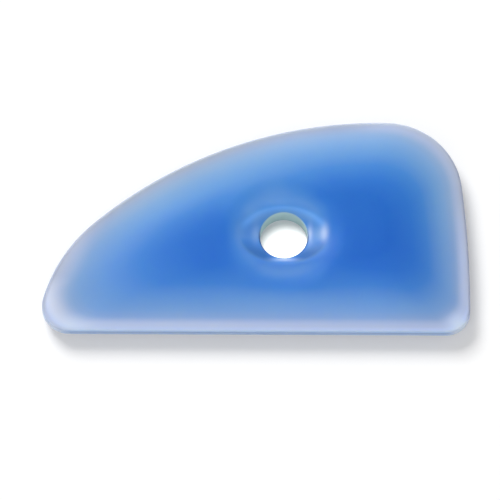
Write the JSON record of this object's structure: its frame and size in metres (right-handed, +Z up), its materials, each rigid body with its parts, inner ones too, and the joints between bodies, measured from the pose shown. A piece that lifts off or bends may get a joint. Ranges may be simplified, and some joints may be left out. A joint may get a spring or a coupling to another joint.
{
  "type": "pottery rib",
  "caption": "Hand-held pottery rib: one translucent moulded blade with a straight edge, long curved back, round shoulder and a finger hole in a scooped dish.",
  "frame": {"origin": "middle of the footprint, on the surface that the underside rests on", "axes": "+X along the length towards the round shoulder, +Y from the straight working edge to the curved back, +Z up through the thickness"},
  "size_m": [0.108, 0.0558, 0.008],
  "materials": {
    "polymer": "satin, translucent, pale at the thin rim and deep blue where thick"
  },
  "bodies": {
    "root": {"rib_body": "polymer"}
  },
  "joints": []
}
